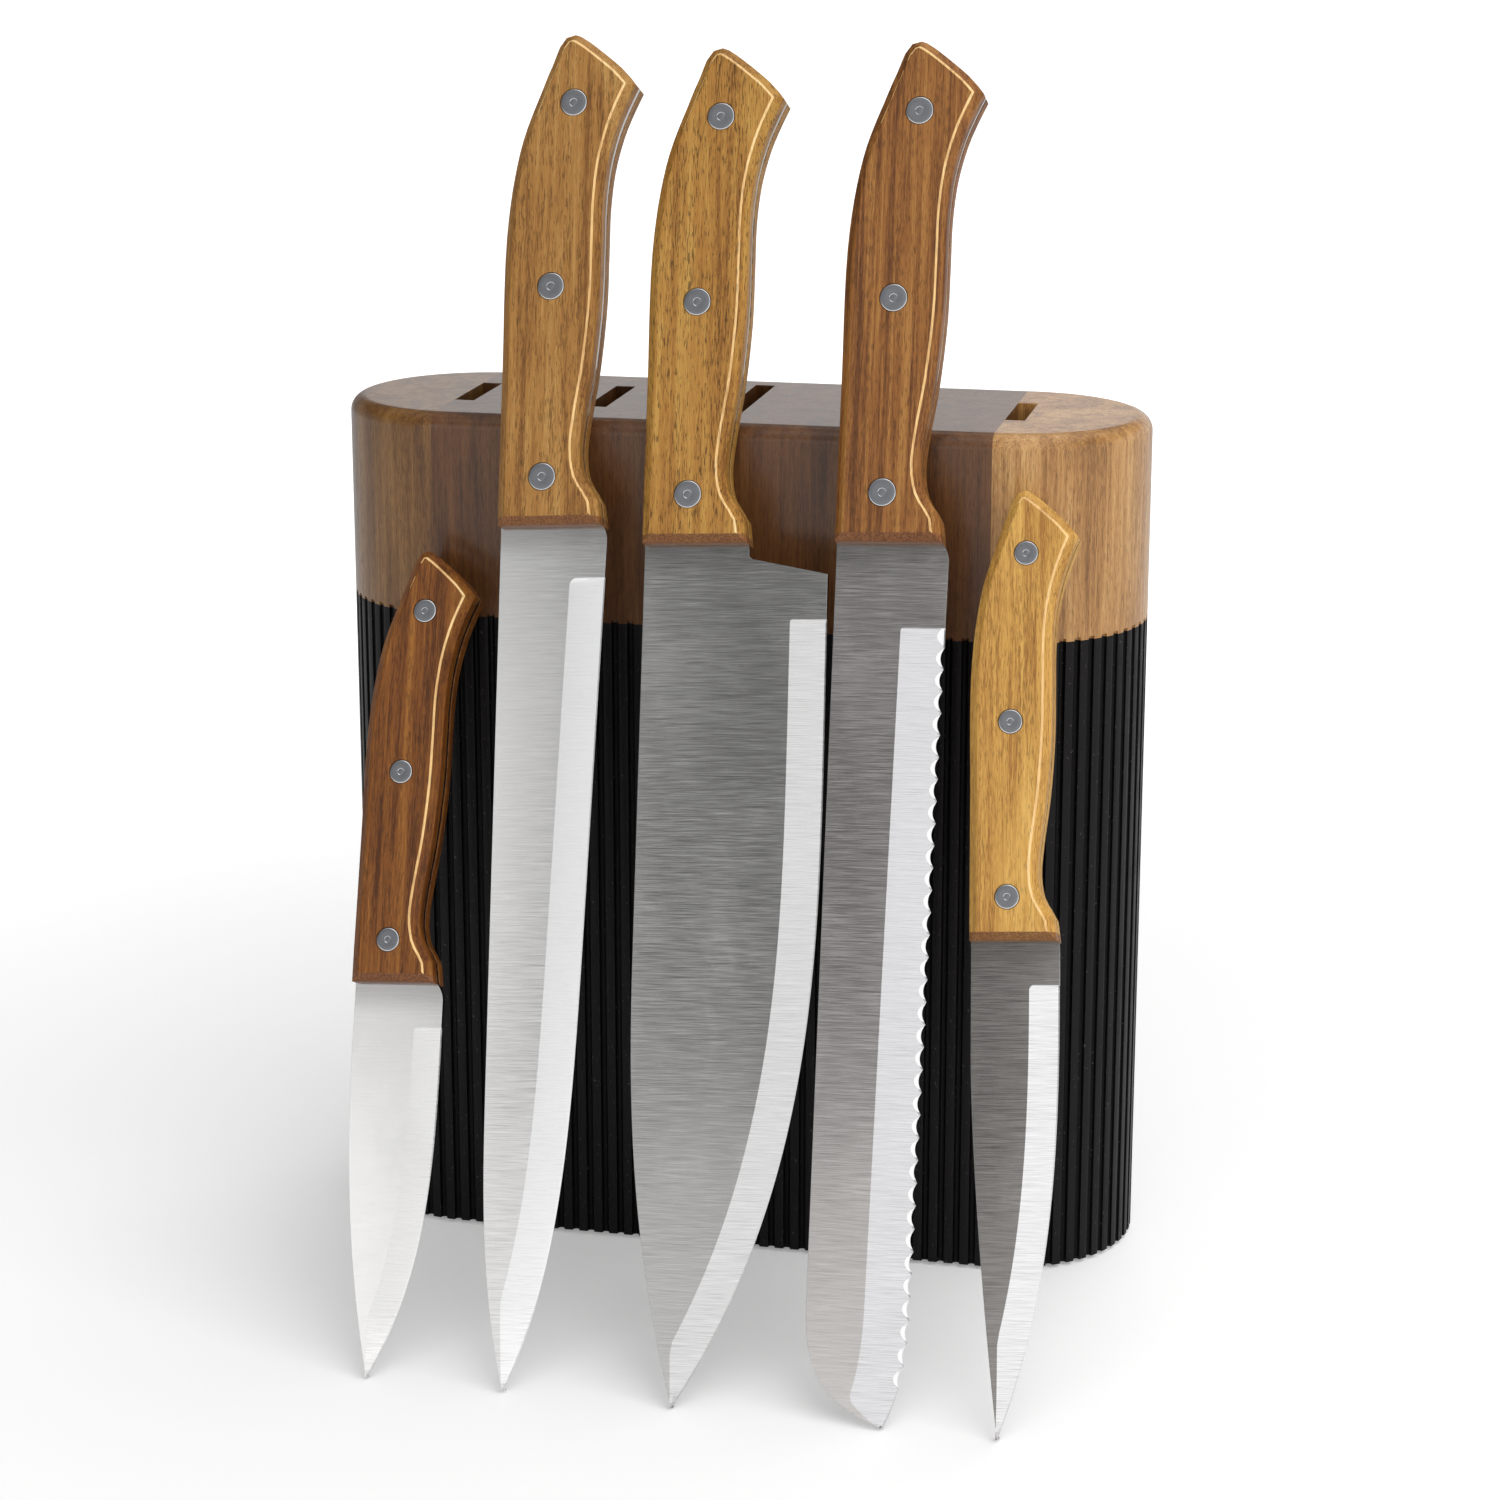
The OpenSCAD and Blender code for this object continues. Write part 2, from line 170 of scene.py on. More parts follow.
def pick_edges(piece, test):
    """Selects edges by a test of their two ends and the angle between their faces."""
    bm = bmesh.from_edit_mesh(piece.data)
    bm.normal_update()
    for e in bm.edges:
        turn = e.calc_face_angle(0) if len(e.link_faces) == 2 else 0
        e.select = bool(test(e.verts[0].co, e.verts[1].co, turn))
    bm.select_flush_mode()
    bmesh.update_edit_mesh(piece.data)


def pick_faces(piece, test):
    bm = bmesh.from_edit_mesh(piece.data)
    bm.normal_update()
    for f in bm.faces:
        f.select = bool(test(f.calc_center_median(), f.normal))
    bm.select_flush_mode()
    bmesh.update_edit_mesh(piece.data)


def lay_verts(piece, place):
    """Lays each vertex of the open piece where place(index, position) says."""
    bm = bmesh.from_edit_mesh(piece.data)
    bm.verts.ensure_lookup_table()
    for v in bm.verts:
        v.co = place(v.index, v.co.copy())
    bmesh.update_edit_mesh(piece.data)


def true_up(piece, gap=1e-6):
    """Merges doubles and turns all faces outwards."""
    on_bench(piece)
    bpy.ops.mesh.select_all(action="SELECT")
    bpy.ops.mesh.remove_doubles(threshold=gap)
    bpy.ops.mesh.normals_make_consistent(inside=False)
    off_bench()


def worked(piece, kind, **settings):
    """Adds a modifier and applies it."""
    only(piece)
    m = piece.modifiers.new(kind.title(), kind)
    for key, value in settings.items():
        setattr(m, key, value)
    bpy.ops.object.modifier_apply(modifier=m.name)


def scrap(piece):
    bpy.data.objects.remove(piece, do_unlink=True)


def cut(piece, tool):
    """Cuts the tool's shape out of a piece and throws the tool away."""
    worked(piece, "BOOLEAN", operation="DIFFERENCE", solver="EXACT", object=tool)
    scrap(tool)


def copy_of(piece, name, matrix=None):
    """A copy with its own mesh, moved by the matrix."""
    new = bpy.data.objects.new(name, piece.data.copy())
    new.data.name = name
    bpy.context.collection.objects.link(new)
    if matrix is not None:
        new.data.transform(matrix)
        if matrix.to_3x3().determinant() < 0:
            new.data.flip_normals()
    return new


def joined(pieces, name):
    """Joins the pieces into one, with a new name."""
    only(pieces[0])
    for p in pieces[1:]:
        p.select_set(True)
    bpy.ops.object.join()
    return named(name)


def smooth(piece, angle):
    only(piece)
    bpy.ops.object.shade_smooth_by_angle(angle=math.radians(angle))


def marked(piece, test):
    """Faces that pass a test of centre and normal take the second finish, the rest the first."""
    for f in piece.data.polygons:
        f.material_index = 1 if test(f.center, f.normal) else 0


def box_tool(low, high):
    """A plain box to cut with, between two corners."""
    size = [b - a for a, b in zip(low, high)]
    bpy.ops.mesh.primitive_cube_add(size=1, location=[(a + b) / 2 for a, b in zip(low, high)])
    tool = named("cutter")
    tool.scale = size
    bpy.ops.object.transform_apply(location=True, rotation=True, scale=True)
    return tool


# ---------------------------------------------------------------- outlines
def curve(points, steps):
    """Smooth curve through points, with a number of steps between each two of them."""
    out = []
    last = len(points) - 1
    for i in range(last):
        p0, p1 = points[max(0, i - 1)], points[i]
        p2, p3 = points[i + 1], points[min(last, i + 2)]
        n = steps[i]
        for s in range(n):
            t = s / n
            out.append(tuple(
                0.5 * (2 * b + (c - a) * t + (2 * a - 5 * b + 4 * c - d) * t * t
                       + (3 * b - a - 3 * c + d) * t ** 3)
                for a, b, c, d in zip(p0, p1, p2, p3)))
    return out


BELLY = [(1, 0), (0.967, 0.048), (0.9, 0.072), (0.82, 0.1), (0.782, 0.15), (0.812, 0.22),
         (0.885, 0.325), (0.935, 0.45), (0.944, 0.56), (0.948, 0.65), (0.985, 0.73),
         (1.065, 0.8), (1.16, 0.852), (1.245, 0.89)]
BUTT = [(1.245, 0.89), (1.1, 0.926), (0.78, 0.982), (0.64, 0.998), (0.55, 0.993),
        (0.485, 0.974), (0.425, 0.94), (0.33, 0.89), (0.12, 0.76), (0.01, 0.58), (0.004, 0.32),
        (0.002, 0.17), (0, 0.075), (0, 0)]


def handle_outline(size):
    """Outline of a handle from the foot's edge side, round the butt and back to the spine."""
    h = HANDLES[size]
    belly = curve(BELLY, [1, 1, 2, 3, 4, 5, 5, 5, 4, 4, 4, 3, 2])
    butt = curve(BUTT, [2, 5, 2, 1, 1, 2, 3, 6, 6, 5, 4, 2, 1])
    return [(x * h["w"] * MM, z * h["l"] * MM) for x, z in belly + butt + [(0, 0)]]


def moved_in(points, d):
    """The outline moved inwards by d, each corner along its two sides' bisector."""
    out = []
    n = len(points)
    for i in range(n):
        a, p, b = Vector(points[i - 1]), Vector(points[i]), Vector(points[(i + 1) % n])
        before, after = (p - a).normalized(), (b - p).normalized()
        n1, n2 = Vector((-before.y, before.x)), Vector((-after.y, after.x))
        out.append(tuple(p + d * (n1 + n2) / (1 + n1.dot(n2))))
    return out


def fall(z, start, power):
    return max(0, 1 - z / start) ** power


def spine_at(k, z):
    return k["drop"] * fall(z, k["fall"][0] * k["l"], k["fall"][1])


def edge_at(k, z):
    full = k["w"] - k["taper"] * (1 - z / k["l"])
    low = k["w"] - k["taper"]
    return full - (low - k["drop"]) * fall(z, k["rise"][0] * k["l"], k["rise"][1])


# ---------------------------------------------------------------- blades
SCALLOP_PITCH, SCALLOP_R, SCALLOP_DEPTH, PLAIN_TIP = 5.2, 3.6, 0.9, 9


def scallop_at(k, z):
    """How deep the scallops bite into the bread knife's edge at height z."""
    count = int((k["l"] - k["gap"] - PLAIN_TIP - SCALLOP_PITCH / 2) / SCALLOP_PITCH)
    i = (z - PLAIN_TIP) / SCALLOP_PITCH
    if i < 0 or i >= count:
        return 0
    off = (i - int(i) - 0.5) * SCALLOP_PITCH
    return max(0, math.sqrt(SCALLOP_R ** 2 - off ** 2) - SCALLOP_R + SCALLOP_DEPTH)


def blade_rows(k):
    """Heights of the rows of a blade's mesh, close together where its outline turns."""
    l, top = k["l"], k["l"] - k["gap"]
    rows = {0, 0.25, 0.6, 1.1, 1.8, 2.7, 4, 5.5, 7.2, top + 0.05, top, top - 0.12, top - 0.3,
            top - 0.6, top - 1, top - 1.5, top - 2, l}
    z = 9.0
    step = 0.65 if k is KNIVES["bread"] else 3.0
    while z < top - 2.5:
        rows.add(round(z, 3))
        z += step
    if k is KNIVES["chef"]:
        rows |= {l - 12, l - 7.1, l - 7.0, l - 6, l - 4.6, l - 3.4, l - 3.1, l - 2.6, l - 1.2}
    else:
        rows |= {l - 5, l - 4, l - 3.2, l - 2.4, l - 1.6, l - 0.8}
    return sorted(rows)


def blade_edge(k, z):
    """The blade's edge side at height z, with heel, neck or shoulder."""
    l, hw = k["l"], HANDLES[k["size"]]["w"]
    x = edge_at(k, z)
    if k is KNIVES["chef"]:
        if z > l - 7.1:
            t = min(1, (z - l + 7.1) / 3.7)
            x = k["w"] + (hw + 0.8 - k["w"]) * t
        if z > l - 3.4:
            x = hw + 0.8 * max(0, 1 - (z - l + 3.4) / 0.8) ** 2
    else:
        x -= (k["w"] - hw) * fall(l - z, 4, 2)
    return x - (scallop_at(k, z) if k is KNIVES["bread"] else 0)


def blade_row(k, z):
    """One row across a blade's front: spine, flat, grind line, grind, lead, edge."""
    top = k["l"] - k["gap"]
    spine, edge = spine_at(k, z), blade_edge(k, z)
    spine, edge = (spine - 0.3, edge + 0.3) if z == 0 else (spine, max(edge, spine + 0.6))
    full = edge_at(k, z) if z < top else edge
    width = min(k["grind"], 0.72 * (full - spine) + 0.3)
    slope = 0.8 / width
    r = k["corner"]
    below = top - z
    shy = r - math.sqrt(max(0, r * r - (r - below) ** 2)) if 0 <= below < r else 0
    line = full - width + shy
    line = min(line, edge - 0.25)
    bite = full - edge
    lead = 0.3 + 0.75 * bite
    ground = z <= top - 0.1
    deep = lambda x: -1 + slope * max(0, x - (full - width)) if ground else -1
    mid = (line + edge - lead) / 2
    return [(spine, -1), ((spine + line) / 2, -1), (line, -1), (mid, deep(mid)),
            (edge - lead, deep(edge - lead)), (edge, -0.07 if ground else -1)]


def forge_blade(name):
    k = KNIVES[name]
    rows = [(z, blade_row(k, z)) for z in blade_rows(k)]
    cols = len(rows[0][1])
    bpy.ops.mesh.primitive_grid_add(x_subdivisions=cols - 1, y_subdivisions=len(rows) - 1, size=1)
    blade = named(name + "_blade_steel")
    on_bench(blade)

    def place(index, co):
        i = round((co.x + 0.5) * (cols - 1))
        j = round((co.y + 0.5) * (len(rows) - 1))
        z, row = rows[j]
        return Vector((row[i][0], row[i][1], z)) * MM

    lay_verts(blade, place)
    bpy.ops.mesh.select_all(action="SELECT")
    bpy.ops.mesh.duplicate()
    bpy.ops.transform.resize(value=(1, -1, 1), center_override=(0, 0, 0))
    bpy.ops.mesh.select_all(action="DESELECT")
    bpy.ops.mesh.select_mode(type="EDGE")
    bpy.ops.mesh.select_non_manifold()
    bpy.ops.mesh.bridge_edge_loops()
    off_bench()
    true_up(blade, 2e-6)
    on_bench(blade, "EDGE")
    full = 0.98 * steel_t / 2
    pick_edges(blade, lambda a, b, turn: turn > 1 and abs(a.y) > full and abs(b.y) > full
               and min(a.z, b.z) > 2 * MM and max(a.z, b.z) < (k["l"] - 0.05) * MM)
    bpy.ops.mesh.bevel(offset=0.18 * MM, segments=2, affect="EDGES", clamp_overlap=True)
    off_bench()
    return blade


def outline_plate(name, points, thick_from, thick_to):
    """A flat plate: a ring of points filled, then extruded across from one y to another."""
    bpy.ops.mesh.primitive_circle_add(vertices=len(points), radius=1, fill_type="NGON")
    plate = named(name)
    on_bench(plate)
    lay_verts(plate, lambda i, co: Vector((points[i][0], thick_from, points[i][1])))
    bpy.ops.mesh.select_all(action="SELECT")
    bpy.ops.mesh.extrude_region_move(
        TRANSFORM_OT_translate={"value": (0, thick_to - thick_from, 0)})
    off_bench()
    return plate


def tang(size):
    """The full tang that shows as a line between a handle's two scales."""
    points = moved_in(handle_outline(size), 0.12 * MM)
    plate = outline_plate("tang", points, steel_t / 2, -steel_t / 2)
    true_up(plate)
    return plate


# ---------------------------------------------------------------- handles
def scale_blank(size):
    """A handle's front scale: outline, chamfer all round, eased arrises, rivet holes."""
    h = HANDLES[size]
    points = handle_outline(size)
    scale = outline_plate(size + "_scale", points, -steel_t / 2, -half_t + chamfer)
    on_bench(scale, "FACE")
    pick_faces(scale, lambda c, n: c.y < -half_t + chamfer + 1e-5 and abs(n.y) > 0.9)
    bpy.ops.mesh.extrude_region_move(TRANSFORM_OT_translate={"value": (0, -chamfer, 0)})
    inner = moved_in(points, chamfer)

    def shrink(index, co):
        if co.y > -half_t + 1e-5:
            return co
        near = min(range(len(points)),
                   key=lambda i: math.hypot(co.x - points[i][0], co.z - points[i][1]))
        return Vector((inner[near][0], co.y, inner[near][1]))

    lay_verts(scale, shrink)
    off_bench()
    true_up(scale)
    on_bench(scale, "EDGE")
    low, high = -half_t + 1e-5, -half_t + chamfer + 1e-5
    pick_edges(scale, lambda a, b, turn: turn > 0.3 and (
        (a.y < low and b.y < low)
        or (low < a.y < high and low < b.y < high and abs(a.y - b.y) < 1e-5)))
    bpy.ops.mesh.bevel(offset=arris_w, segments=3, affect="EDGES", clamp_overlap=True)
    off_bench()
    for share_z, share_x in RIVETS:
        bpy.ops.mesh.primitive_cylinder_add(
            vertices=48, radius=h["head"] * MM + rivet_play, depth=2 * head_t,
            location=(share_x * h["w"] * MM, -half_t, share_z * h["l"] * MM),
            rotation=(math.pi / 2, 0, 0))
        tool = named("cutter")
        bpy.ops.object.transform_apply(location=True, rotation=True, scale=True)
        cut(scale, tool)
    # Arris faces facing right or up take the second finish: paler wood with a painted highlight on
    # the lit side.
    marked(scale, lambda c, n: 0.74 < abs(n.y) < 0.995 and (n.x > 0.05 or n.z > 0.2))
    return scale


def rivet_heads(size):
    """Three heads with their shanks: turned disc, eased rim, pressed pin in the middle."""
    h = HANDLES[size]
    r = h["head"] * MM
    bpy.ops.mesh.primitive_cylinder_add(vertices=48, radius=r, depth=head_t,
                                        location=(0, -half_t + head_t / 2, 0),
                                        rotation=(math.pi / 2, 0, 0))
    head = named("rivet")
    bpy.ops.object.transform_apply(location=True, rotation=True, scale=True)
    on_bench(head, "EDGE")
    pick_edges(head, lambda a, b, turn: turn > 1 and max(a.y, b.y) < -half_t + 1e-5)
    bpy.ops.mesh.bevel(offset=0.3 * MM, segments=3, affect="EDGES")
    bpy.ops.mesh.select_all(action="DESELECT")
    bpy.ops.mesh.select_mode(type="FACE")
    pick_faces(head, lambda c, n: n.y < -0.99 and c.y < -half_t + 1e-5)
    bpy.ops.mesh.inset(thickness=r * 0.3)
    bpy.ops.mesh.inset(thickness=r * 0.3)
    bpy.ops.transform.translate(value=(0, 0.05 * MM, 0))
    bpy.ops.mesh.inset(thickness=0.12 * MM)
    bpy.ops.transform.translate(value=(0, 0.09 * MM, 0))
    bpy.ops.mesh.inset(thickness=r * 0.1)
    bpy.ops.transform.translate(value=(0, -0.05 * MM, 0))
    bpy.ops.mesh.select_all(action="DESELECT")
    pick_faces(head, lambda c, n: n.y > 0.99)
    bpy.ops.mesh.inset(thickness=r - 1.9 * MM)
    bpy.ops.mesh.extrude_region_move(
        TRANSFORM_OT_translate={"value": (0, half_t - head_t - 0.1 * MM, 0)})
    off_bench()
    true_up(head)
    three = [copy_of(head, "rivet", Matrix.Translation((x * h["w"] * MM, 0, z * h["l"] * MM)))
             for z, x in RIVETS]
    scrap(head)
    heads = joined(three, size + "_rivets")
    # Slanted rim faces take the second finish, the painted highlight.
    marked(heads, lambda c, n: 0.05 < abs(n.y) < 0.97 and c.y < -half_t + 0.31 * MM)
    return heads


# ---------------------------------------------------------------- the block
def oval_blank(name, radius, low, high):
    """A cylinder drawn out into the block's oval."""
    bpy.ops.mesh.primitive_cylinder_add(vertices=192, radius=radius, depth=high - low,
                                        location=(0, 0, (low + high) / 2),
                                        rotation=(0, 0, math.pi / 192))
    blank = named(name)
    bpy.ops.object.transform_apply(location=True, rotation=True, scale=True)
    for side in (-1, 1):
        on_bench(blank)
        pick_verts(blank, lambda co: co.x * side > 0)
        bpy.ops.transform.translate(value=(side * straight, 0, 0))
        off_bench()
    return blank


def flute_places():
    """Middle of each flute's cutter round the oval."""
    rim = 4 * straight + 2 * math.pi * end_r
    count = 2 * round(rim / flute_pitch / 2)
    out_r = end_r + flute_r - flute_depth
    places = []
    for i in range(count):
        s = (i + 0.5) * rim / count
        half = rim / 2
        across = s > half
        rest = rim - s if across else s
        front = rest < half / 2
        along = rest if front else half - rest
        if along < straight:
            x, y = along, -out_r
        else:
            turn = (along - straight) / end_r
            x, y = straight + out_r * math.sin(turn), -out_r * math.cos(turn)
        places.append((-x if across else x, y if front else -y))
    return places


def flute_tool(low, high):
    """All the flutes' cutters at once: one round bar, copied round the oval."""
    bpy.ops.mesh.primitive_cylinder_add(vertices=20, radius=flute_r, depth=high - low,
                                        location=(0, 0, (low + high) / 2))
    bar = named("bar")
    bpy.ops.object.transform_apply(location=True, rotation=True, scale=True)
    bars = [copy_of(bar, "bar", Matrix.Translation((x, y, 0))) for x, y in flute_places()]
    scrap(bar)
    return joined(bars, "flute_cutter")


def slot_tool(i, left):
    """Box that cuts slot i, from left of its joint to its right wall."""
    x = joints_x[i]
    half = (KNIVES[SLOTS[i]]["w"] * MM + slot_room) / 2
    return box_tool((x - left, -half, slot_floor), (x + slot_w, half, block_h + 5 * MM))


def on_outline(co):
    """Distance of a point from the block's plain outline."""
    side = max(0, abs(co.x) - straight)
    return abs(math.hypot(side, co.y) - end_r)


def fluted_body():
    body = oval_blank("fluted_body", end_r, pad_t, seam_h)
    cut(body, flute_tool(pad_t - 2 * MM, seam_h + 2 * MM))
    true_up(body)
    on_bench(body, "EDGE")
    pick_edges(body, lambda a, b, turn: turn > 0.5 and abs(a.z - b.z) > 0.1
               and on_outline(a) < 0.03 * MM)
    bpy.ops.mesh.bevel(offset=edge_w, segments=2, affect="EDGES", clamp_overlap=True)
    off_bench()
    for i in range(len(SLOTS)):
        cut(body, slot_tool(i, 0))
    smooth(body, 40)
    return body


def cap_staves():
    cap = oval_blank("cap", end_r, seam_h, block_h)
    on_bench(cap, "EDGE")
    pick_edges(cap, lambda a, b, turn: turn > 1 and min(a.z, b.z) > block_h - 1e-5)
    bpy.ops.mesh.bevel(offset=rim_r, segments=10, affect="EDGES", clamp_overlap=False)
    off_bench()
    cut(cap, flute_tool(seam_h - 2 * MM, seam_h + flute_runout))
    staves = []
    ends = [-block_w] + joints_x + [block_w]
    for i in range(6):
        stave = copy_of(cap, "cap_board_%d" % (i + 1))
        for x, side in ((ends[i], 1), (ends[i + 1], -1)):
            if abs(x) >= block_w:
                continue
            on_bench(stave)
            bpy.ops.mesh.select_all(action="SELECT")
            bpy.ops.mesh.bisect(plane_co=(x, 0, 0), plane_no=(side, 0, 0), use_fill=True,
                                clear_inner=True, clear_outer=False)
            off_bench()
        true_up(stave)
        if i > 0:
            cut(stave, slot_tool(i - 1, 3 * MM))
            on_bench(stave, "EDGE")
            half = (KNIVES[SLOTS[i - 1]]["w"] * MM + slot_room) / 2 + 1e-5
            x = joints_x[i - 1]
            pick_edges(stave, lambda a, b, turn: turn > 1 and min(a.z, b.z) > block_h - 1e-5
                       and max(abs(a.y), abs(b.y)) < half
                       and max(a.x, b.x) < x + slot_w + 1e-5
                       and not (abs(a.x - x) < 1e-5 and abs(b.x - x) < 1e-5))
            bpy.ops.mesh.bevel(offset=edge_w, segments=2, affect="EDGES")
            off_bench()
        smooth(stave, 35)
        worked(stave, "WEIGHTED_NORMAL", keep_sharp=True)
        staves.append(stave)
    scrap(cap)
    return staves


# ---------------------------------------------------------------- finishes
def socket(group, name, kind, way, value=None):
    s = group.interface.new_socket(name, in_out=way, socket_type="NodeSocket" + kind)
    if value is not None:
        s.default_value = value
    return s


class Bench:
    """Short names for laying out shader nodes in one tree."""

    def __init__(self, tree):
        self.tree = tree
        self.count = 0

    def node(self, kind, inputs=None, **settings):
        n = self.tree.nodes.new("ShaderNode" + kind)
        n.location = (220 * (self.count // 6), -200 * (self.count % 6))
        self.count += 1
        for key, value in settings.items():
            setattr(n, key, value)
        for key, value in (inputs or {}).items():
            self.feed(value, n.inputs[key])
        return n

    def feed(self, value, into):
        if isinstance(value, bpy.types.NodeSocket):
            self.tree.links.new(value, into)
        else:
            into.default_value = value

    def math(self, what, a, b=0.0, c=0.0, clamp=False):
        n = self.node("Math", {0: a, 1: b, 2: c}, operation=what, use_clamp=clamp)
        return n.outputs[0]

    def span(self, value, low, high, to_low=0.0, to_high=1.0):
        """Maps a value's range to another, clamped and eased."""
        n = self.node("MapRange", {0: value, 1: low, 2: high, 3: to_low, 4: to_high},
                      interpolation_type="SMOOTHSTEP")
        return n.outputs[0]

    def mix(self, share, a, b, how="MIX"):
        n = self.node("Mix", data_type="RGBA", blend_type=how)
        self.feed(share, n.inputs[0])
        self.feed(a, n.inputs[6])
        self.feed(b, n.inputs[7])
        return n.outputs[2]

    def drawn(self, vector, x, y, z):
        """A place stretched by a factor along each axis."""
        n = self.node("VectorMath", {0: vector, 1: (x, y, z)}, operation="MULTIPLY")
        return n.outputs[0]

    def noise(self, vector, scale=1.0, detail=2.0, rough=0.5, twist=0.0):
        n = self.node("TexNoise", {"Vector": vector, "Scale": scale, "Detail": detail,
                                   "Roughness": rough, "Distortion": twist})
        return n.outputs[0]


def colour(r, g, b):
    """An eye's colour, 0 to 255, as linear light."""
    lin = lambda c: c / 255 / 12.92 if c <= 10 else ((c / 255 + 0.055) / 1.055) ** 2.4
    return (lin(r), lin(g), lin(b), 1.0)


def grain_group():
    """Open-pored hardwood in millimetres, its grain along Z."""
    g = bpy.data.node_groups.new("Grain", "ShaderNodeTree")
    socket(g, "Place", "Vector", "INPUT")
    socket(g, "Light", "Color", "INPUT", colour(205, 150, 85))
    socket(g, "Middle", "Color", "INPUT", colour(176, 118, 60))
    socket(g, "Dark", "Color", "INPUT", colour(120, 72, 34))
    socket(g, "Pores", "Float", "INPUT", 0.5)
    socket(g, "Bands", "Float", "INPUT", 0.5)
    for name, kind in (("Color", "Color"), ("Gloss", "Float"), ("Height", "Float")):
        socket(g, name, kind, "OUTPUT")
    b = Bench(g)
    gi = g.nodes.new("NodeGroupInput")
    go = g.nodes.new("NodeGroupOutput")
    p = gi.outputs["Place"]
    drift = b.noise(b.drawn(p, 0.05, 0.05, 0.012), 1, 2)
    broad = b.noise(b.drawn(p, 0.16, 0.16, 0.012), 1, 3, 0.55, 0.6)
    bands = b.noise(b.drawn(p, 0.75, 0.75, 0.014), 1, 3, 0.6, 0.35)
    fibre = b.noise(b.drawn(p, 6.5, 6.5, 0.3), 1, 3, 0.65)
    ray = b.noise(b.drawn(p, 1.9, 1.9, 0.05), 1, 2, 0.6)
    swing = lambda value, by: b.math("MULTIPLY", b.math("SUBTRACT", value, 0.5), by)
    tone = b.math("ADD", 0.5, swing(b.span(broad, 0.3, 0.7), 0.5))
    tone = b.math("ADD", tone, b.math("MULTIPLY", swing(b.span(bands, 0.35, 0.65), 0.6),
                                      gi.outputs["Bands"]))
    tone = b.math("ADD", tone, swing(ray, 0.7))
    tone = b.math("ADD", tone, swing(fibre, 1.5))
    tone = b.math("ADD", tone, swing(drift, 0.5), clamp=True)
    low = b.mix(b.span(tone, 0.0, 0.5), gi.outputs["Dark"], gi.outputs["Middle"])
    wood = b.mix(b.span(tone, 0.45, 1.0), low, gi.outputs["Light"])
    pore_run = b.noise(b.drawn(p, 3.6, 3.6, 0.38), 1, 2, 0.5)
    pore_zone = b.noise(b.drawn(p, 0.5, 0.5, 0.02), 1, 2)
    edge = b.math("ADD", 0.57, b.math("MULTIPLY", b.math("SUBTRACT", 0.5, pore_zone), 0.34))
    pore = b.math("MULTIPLY", b.span(b.math("SUBTRACT", pore_run, edge), 0.0, 0.05),
                  gi.outputs["Pores"])
    wood = b.mix(b.math("MULTIPLY", pore, 1.0), wood, b.mix(0.7, wood, (0.03, 0.014, 0.005, 1)))
    g.links.new(wood, go.inputs["Color"])
    gloss = b.math("ADD", 0.3, b.math("MULTIPLY", fibre, 0.16))
    gloss = b.math("ADD", gloss, b.math("MULTIPLY", pore, 0.25))
    g.links.new(gloss, go.inputs["Gloss"])
    height = b.math("SUBTRACT", b.math("MULTIPLY", fibre, 0.35), pore)
    g.links.new(height, go.inputs["Height"])
    return g


def brushing_group():
    """Fine parallel scratches along X, in millimetres."""
    g = bpy.data.node_groups.new("Brushing", "ShaderNodeTree")
    socket(g, "Place", "Vector", "INPUT")
    socket(g, "Tone", "Color", "INPUT", (0.6, 0.6, 0.6, 1))
    socket(g, "Depth", "Float", "INPUT", 0.3)
    socket(g, "Gloss", "Float", "INPUT", 0.28)
    for name, kind in (("Color", "Color"), ("Gloss", "Float"), ("Height", "Float")):
        socket(g, name, kind, "OUTPUT")
    b = Bench(g)
    gi = g.nodes.new("NodeGroupInput")
    go = g.nodes.new("NodeGroupOutput")
    p = gi.outputs["Place"]
    fine = b.noise(b.drawn(p, 0.12, 0.2, 9.0), 1, 2, 0.6)
    coarse = b.noise(b.drawn(p, 0.03, 0.1, 2.0), 1, 3, 0.65)
    cloud = b.noise(b.drawn(p, 0.03, 0.03, 0.02), 1, 2)
    streak = b.math("ADD", b.math("MULTIPLY", fine, 0.8), b.math("MULTIPLY", coarse, 0.2))
    swing = b.math("MULTIPLY", b.math("SUBTRACT", streak, 0.5), gi.outputs["Depth"])
    shade = b.math("ADD", b.math("ADD", 1.0, b.math("MULTIPLY", swing, 1.3)),
                   b.math("MULTIPLY", b.math("SUBTRACT", cloud, 0.5), 0.16))
    grey = b.node("CombineColor", {0: shade, 1: shade, 2: shade}).outputs[0]
    g.links.new(b.mix(1.0, gi.outputs["Tone"], grey, "MULTIPLY"), go.inputs["Color"])
    gloss = b.math("ADD", gi.outputs["Gloss"], b.math("MULTIPLY", swing, 0.6))
    g.links.new(b.math("ADD", gloss, b.math("MULTIPLY", b.math("SUBTRACT", cloud, 0.5), 0.06)),
                go.inputs["Gloss"])
    g.links.new(streak, go.inputs["Height"])
    return g


